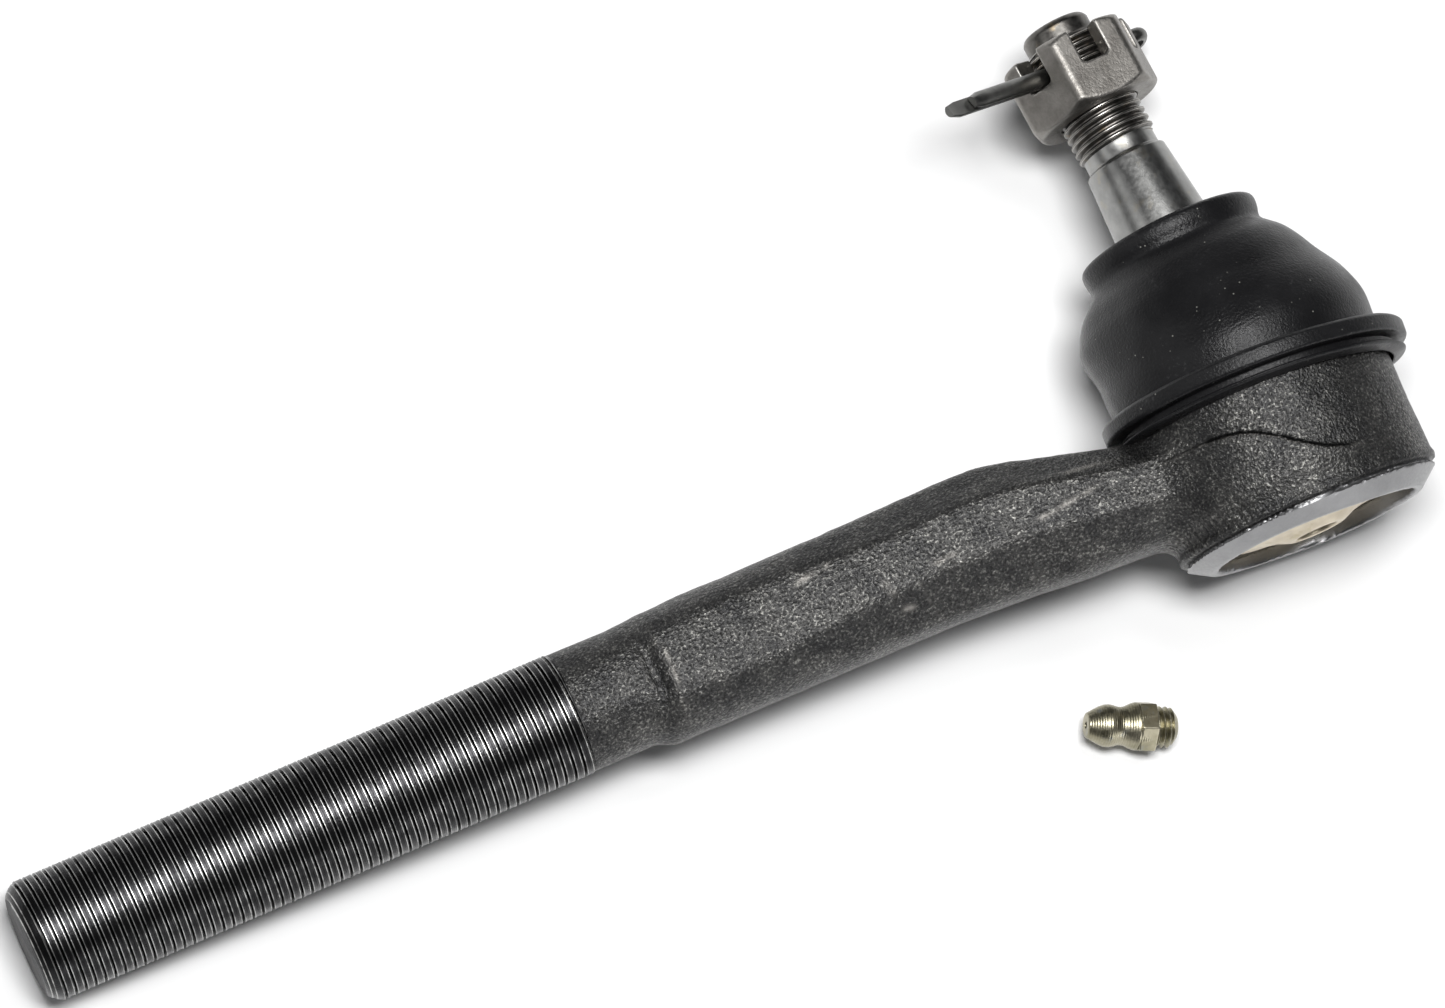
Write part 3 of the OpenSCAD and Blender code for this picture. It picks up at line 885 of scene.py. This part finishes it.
def build_stud():
    """The stud below its thread: head, neck, taper and the relief groove."""
    relief_r = 5.8
    outline = rounded([(0.01, -7.5), (8.8, -7.5), (11.7, -0.3), (8.0, 0.0), (8.0, 22.5),
                       (taper_r(24), 24.0), (TAPER_SMALL_R, TAPER_TOP), (5.85, TAPER_TOP + 0.35),
                       (relief_r, RELIEF_TOP - 0.2), (relief_r, RELIEF_TOP + 1.0),
                       (0.01, RELIEF_TOP + 1.0)], 0.25)
    points, faces = lathe(outline)
    piece = make_piece("ball_stud_body", points, faces, ground, ON_STUD, sharp=40)
    weld(piece, 0.03)
    set_values(piece, "wear_and_edge_highlight", np.zeros(len(piece.data.vertices)))
    return piece


def stud_envelope(z):
    """Largest radius of the stud thread at this height; above its crests is a plain tip."""
    start = STUD_R - 0.7 * ramp(z, RELIEF_TOP + 0.7, RELIEF_TOP)
    crests = STUD_R - 0.95 * ramp(z, STUD_CREST_TOP - 0.7, STUD_CREST_TOP)
    tip = STUD_TIP_R - 0.9 * (1 - np.sqrt(np.clip((STUD_TOP - z) / 0.9, 0, 1)))
    crests = np.where(z > STUD_CREST_TOP, np.minimum(crests, tip), crests)
    return np.minimum(start, crests)


def build_stud_thread():
    """The thread under the nut. Its grooves are filled above STUD_CREST_TOP."""
    phases = (0.0, 0.04, 0.10, 0.15, 0.32, 0.44, 0.56, 0.68, 0.85, 0.90, 0.96)
    heights = (0.84, 0.98, 1.0, 0.90, 0.44, 0.05, 0.05, 0.44, 0.90, 1.0, 0.98)
    points, faces, crest = thread_sheet(stud_envelope, STUD_PITCH, RELIEF_TOP, STUD_TOP, phases,
                                        heights, 0.72)
    x, y, z = points[:-2].T
    plain = np.clip(stud_envelope(z), 0.01, STUD_TIP_R)
    fill = np.where(z > STUD_CREST_TOP, plain / np.maximum(np.hypot(x, y), 1e-6), 1.0)
    points[:-2, :2] *= fill[:, None]
    crest = np.where(points[:, 2] > STUD_CREST_TOP, 0.0, crest)
    return threaded_piece("ball_stud_thread", points, faces, crest, RELIEF_TOP, STUD_TOP,
                          raw_steel, ON_STUD)


def nut_field(x, y, z):
    """A hexagonal nut with both ends chamfered, six slots in its top and a plain bore."""
    u, v = turned(x, y, COTTER_AZIMUTH)
    radial = np.hypot(x, y)
    body = hexagon(u, v, NUT_AF, 0.8)
    body = soft_max(body, cone(radial, 9.6, -z), 0.35)
    body = soft_max(body, cone(radial, 9.9, z - NUT_H), 0.45)
    body = soft_max(body, -z, 0.25)
    body = soft_max(body, z - NUT_H, 0.45)
    for a in HEX_SIDES:
        side = np.abs(-u * math.sin(a) + v * math.cos(a)) - SLOT_W / 2
        slot = soft_max(side, NUT_H - SLOT_DEPTH - z, 1.0)
        body = soft_max(body, -slot, 0.3)
    return soft_max(body, STUD_R + 0.12 - radial, 0.2)


def build_nut():
    step = 0.17
    points, faces = surface_net(nut_field, (-11.6, -11.6, -0.6), (11.6, 11.6, NUT_H + 0.6), step)
    points = points + (0, 0, NUT_SEAT)
    piece = make_piece("slotted_nut_body", points, faces, nut_steel, ON_STUD, sharp=60)
    # The nut's lightened edges are partly wear, partly painted highlight.
    mark_wear_and_edge_highlight(piece, 2.2)
    return piece


def cotter_path(leg_steps=24, eye_steps=28):
    """The wire's middle line in the pin's plane, the side it faces and its half width."""
    gap = 0.06
    long_leg = [(x, gap) for x in np.linspace(COTTER_REACH, COTTER_NECK_X, leg_steps)]
    eye = [(COTTER_EYE_X + COTTER_EYE_R * math.cos(a), COTTER_EYE_R * math.sin(a))
           for a in np.linspace(0.75, TAU - 0.75, eye_steps)]
    short_leg = [(x, -gap) for x in np.linspace(COTTER_NECK_X, COTTER_REACH - 5.2, leg_steps)]
    path = np.array(long_leg + eye + short_leg)
    in_eye = slice(leg_steps, leg_steps + eye_steps)
    from_eye = path[in_eye] - (COTTER_EYE_X, 0)
    outward = np.zeros_like(path)
    outward[:leg_steps] = (0, 1)
    outward[in_eye] = from_eye / np.linalg.norm(from_eye, axis=1)[:, None]
    outward[-leg_steps:] = (0, -1)
    size = np.full(len(path), COTTER_R * 0.97)
    size[in_eye] *= 0.86
    size[[0, -1]] *= 0.72
    return path, outward, size


def build_cotter():
    """Half-round wire: in along one leg, round the eye and back along the other. The legs
    droop a little, the pin is rolled on edge, and its eye is bent to one side."""
    path, outward, size = cotter_path()
    section = [(math.cos(a), math.sin(a)) for a in np.linspace(0, math.pi, 11)]
    section = [(0.86, 0.0)] + section[1:-1] + [(-0.86, 0.0)]
    points = []
    for p, o, r in zip(path, outward, size):
        lift = ramp(p[0], -10.5, -13.5)
        for across, out in section:
            points.append((p[0] + o[0] * out * r, across * r + lift, p[1] + o[1] * out * r))
    n = len(section)
    faces = [(i * n + j, i * n + (j + 1) % n, (i + 1) * n + (j + 1) % n, (i + 1) * n + j)
             for i in range(len(path) - 1) for j in range(n)]
    faces += [tuple(range(n))[::-1], tuple((len(path) - 1) * n + j for j in range(n))]
    place = (ON_STUD @ Matrix.Rotation(COTTER_AZIMUTH, 4, "Z")
             @ Matrix.Translation((0, 0, COTTER_HEIGHT)) @ Matrix.Rotation(COTTER_DROOP, 4, "Y")
             @ Matrix.Rotation(COTTER_ROLL, 4, "X"))
    piece = make_piece("cotter_pin_wire", points, faces, pin_steel, place, sharp=50)
    weld(piece, 0.001)
    mark_wear_and_edge_highlight(piece, 1.0)
    return piece


# ---------------------------------------------------------------- cover plate and fitting

def build_cover():
    """The domed bottom plate, with its flat border held in the rim's recess."""
    outline = rounded([(3.3, -18.95), (4.4, -18.95), (5.2, -18.65), (6.6, -18.05), (9.5, -17.35),
                       (12.6, -16.95), (13.9, -15.9), (16.4, -15.8), (16.4, -14.7), (13.0, -14.7),
                       (5.8, -16.7), (3.3, -16.7)], 0.3)
    points, faces = lathe(outline, 160)
    piece = make_piece("cover_plate_dome", points, faces, zinc, ON_HOUSING, sharp=45)
    set_values(piece, "wear_and_edge_highlight", np.zeros(len(points)))
    return piece


def fitting_field(x, y, z):
    """The grease fitting: nipple, hexagon and threaded stem, with a hole through them."""
    radial = np.hypot(x, y)
    shape = np.array([(-0.1, 3.55), (2.6, 3.6), (2.9, 3.65), (3.6, 3.42), (4.5, 3.0), (5.1, 2.88),
                      (5.7, 2.93), (6.3, 3.12), (7.0, 3.25), (7.7, 3.18), (8.5, 2.9), (9.3, 2.5),
                      (10.0, 2.1), (10.4, 1.9), (10.8, 1.7)])
    tool_marks = 0.02 * np.sin(z * TAU / 0.36)
    nipple = radial - np.interp(z, shape[:, 0], shape[:, 1]) + tool_marks
    nipple = soft_max(soft_max(nipple, z - 10.5, 0.25), -z, 0.2)
    u, v = turned(x, y, FITTING_HEX_TURN)
    ends = slab(z, 0, FITTING_HEX_H)
    grip = soft_max(hexagon(u, v, FITTING_AF, 0.15), ends, 0.15)
    grip = soft_max(grip, cone(radial, 3.95, ends, 0.6, 0.8), 0.1)
    ridge = np.abs((z / FITTING_PITCH - np.arctan2(y, x) / TAU) % 1.0 - 0.5) * 2
    thread = radial - (FITTING_THREAD_R - 0.52 * ridge + 0.02 * z)
    thread = soft_max(thread, cone(radial, 1.9, -3.5 - z), 0.1)
    thread = np.maximum(thread, slab(z, -3.5, 0.4))
    body = np.minimum(np.minimum(nipple, grip), thread)
    hole = np.minimum(np.maximum(radial - 0.55, 9 - z), np.maximum(radial - 1.5, z - 9.3))
    return soft_max(body, -hole, 0.1)


def fitting_place():
    """The loose fitting's own axis, from the travel of its check ball."""
    inward = Vector(joints["check_ball_travel"]["axis"]).normalized()
    outward = -inward
    level = Vector((0, 0, 1)).cross(outward).normalized()
    up = outward.cross(level)
    turn = Matrix((level, up, outward)).transposed().to_4x4()
    low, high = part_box("fitting_body")
    middle = (low + high) / 2 / MM
    return Matrix.Translation(middle - outward * FITTING_MIDDLE) @ turn


def build_fitting():
    step = 0.085
    points, faces = surface_net(fitting_field, (-4.3, -4.3, -3.8), (4.3, 4.3, 10.8), step)
    piece = make_piece("grease_fitting_body", points, faces, olive, fitting_place(), sharp=60)
    mark_wear_and_edge_highlight(piece, 1.6)
    return piece


# ---------------------------------------------------------------- put together

forging = build_forging()
shank_thread = build_shank_thread()
boot = build_boot()
brim = build_brim()
brim_ring = build_brim_ring()
stud_body = build_stud()
stud_thread = build_stud_thread()
nut = build_nut()
cotter = build_cotter()
cover = build_cover()
fitting = build_fitting()

# Each piece, the body it rides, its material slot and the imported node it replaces.
RIDERS = (
    (forging, "housing", "forged_steel", "housing"),
    (shank_thread, "housing", "forged_steel", "housing"),
    (cover, "housing", "cover_zinc", "cover_plate"),
    (brim, "housing", "boot_rubber", "dust_boot"),
    (brim_ring, "housing", "ring_steel", "boot_base_ring"),
    (stud_body, "stud", "ground_steel", "ball_stud"),
    (stud_thread, "stud", "ground_steel", "ball_stud"),
    (nut, "stud", "nut_steel", "slotted_nut"),
    (cotter, "stud", "pin_steel", "cotter_pin"),
    (fitting, "grease_fitting", "fitting_zinc", "fitting_body"),
)
for piece, body, slot, node in RIDERS:
    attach(piece, body)
    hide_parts(node)

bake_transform(boot)
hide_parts("dust_boot")

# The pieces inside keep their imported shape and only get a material.
INNER = (("preload_spring", spring_steel), ("lower_bearing_seat", seat_steel),
         ("half_ball_bearing", bronze), ("boot_lip_ring", ring_steel),
         ("fitting_check_ball", ball_steel), ("fitting_spring", spring_steel))
for node, material in INNER:
    frame["nodes"][node].data.materials.clear()
    frame["nodes"][node].data.materials.append(material)


# ---------------------------------------------------------------- floor, light and camera

CAMERA_DISTANCE = 2.0
VIEW_WIDTH = 0.2158
TARGET = Vector((-80.6, 20.0, 0.0)) * MM
YAW = math.radians(8.5)
PITCH = math.radians(7.0)
ROLL = math.radians(23.03)
FLOOR_HALF = 6.0
FLOOR_GAP = 1.0


def add_floor():
    """A pale floor just below the boot's brim, tipped so that it is near the shank's end too."""
    brim_z = -BRIM_R - FLOOR_GAP
    mesh = bpy.data.meshes.new("floor")
    corners = [(-FLOOR_HALF, -FLOOR_HALF, 0), (FLOOR_HALF, -FLOOR_HALF, 0),
               (FLOOR_HALF, FLOOR_HALF, 0), (-FLOOR_HALF, FLOOR_HALF, 0)]
    mesh.from_pydata(corners, [], [(0, 1, 2, 3)])
    n = Nodes("pale_floor")
    tone = n.mix(n.noise(60, 3), (0.86, 0.86, 0.86), (0.89, 0.89, 0.89))
    mesh.materials.append(n.finish(Base_Color=tone, Roughness=0.85, Specular_IOR_Level=0.1))
    floor = add_object("floor", mesh)
    floor.rotation_euler = (0, math.atan2(-SHANK_R - brim_z, -SHANK_TIP), 0)
    floor.location = (0, 0, brim_z * MM)


def picture_axes():
    """Directions to the right, up and back towards the camera, as the picture has them."""
    back = Vector((-math.sin(YAW), -math.sin(PITCH), 0))
    back.z = math.sqrt(1 - back.length_squared)
    along = (Vector((1, 0, 0)) - back * back.x).normalized()
    across = back.cross(along)
    right = math.cos(ROLL) * along - math.sin(ROLL) * across
    up = math.sin(ROLL) * along + math.cos(ROLL) * across
    return right, up, back


def add_camera():
    right, up, back = picture_axes()
    data = bpy.data.cameras.new("camera")
    data.sensor_width = 36
    data.lens = data.sensor_width * CAMERA_DISTANCE / VIEW_WIDTH
    data.clip_end = 50
    camera = add_object("camera", data)
    camera.matrix_world = (Matrix.Translation(TARGET + back * CAMERA_DISTANCE)
                           @ Matrix((right, up, back)).transposed().to_4x4())
    bpy.context.scene.camera = camera


def add_light(name, toward, distance, size, power):
    """A soft box, size metres wide and tall, that shines on the part from the direction
    (right, up, back) of the picture."""
    right, up, back = picture_axes()
    way = (right * toward[0] + up * toward[1] + back * toward[2]).normalized()
    data = bpy.data.lights.new(name, "AREA")
    data.shape = "RECTANGLE"
    data.size, data.size_y = size
    data.energy = power
    light = add_object(name, data)
    light.location = TARGET + way * distance
    light.rotation_mode = "QUATERNION"
    light.rotation_quaternion = way.to_track_quat("Z", "Y")


def add_surroundings():
    """A faint even light from all around."""
    world = bpy.data.worlds.new("studio")
    world.use_nodes = True
    background = world.node_tree.nodes["Background"]
    background.inputs["Color"].default_value = (0.9, 0.93, 1.0, 1)
    background.inputs["Strength"].default_value = 0.03
    bpy.context.scene.world = world
    bpy.context.scene.view_settings.view_transform = "Standard"


add_floor()
add_camera()
add_light("front_box", (0.09, 0.19, 1.0), 1.7, (0.62, 0.34), 30)
add_light("stud_box", (0.28, 0.56, 0.95), 1.7, (0.5, 0.4), 5.5)
add_light("left_box", (-0.8, 0.05, 0.68), 1.5, (0.8, 0.6), 1.9)
add_light("low_box", (0.8, -0.95, 0.34), 1.5, (0.9, 0.5), 4.8)
add_surroundings()
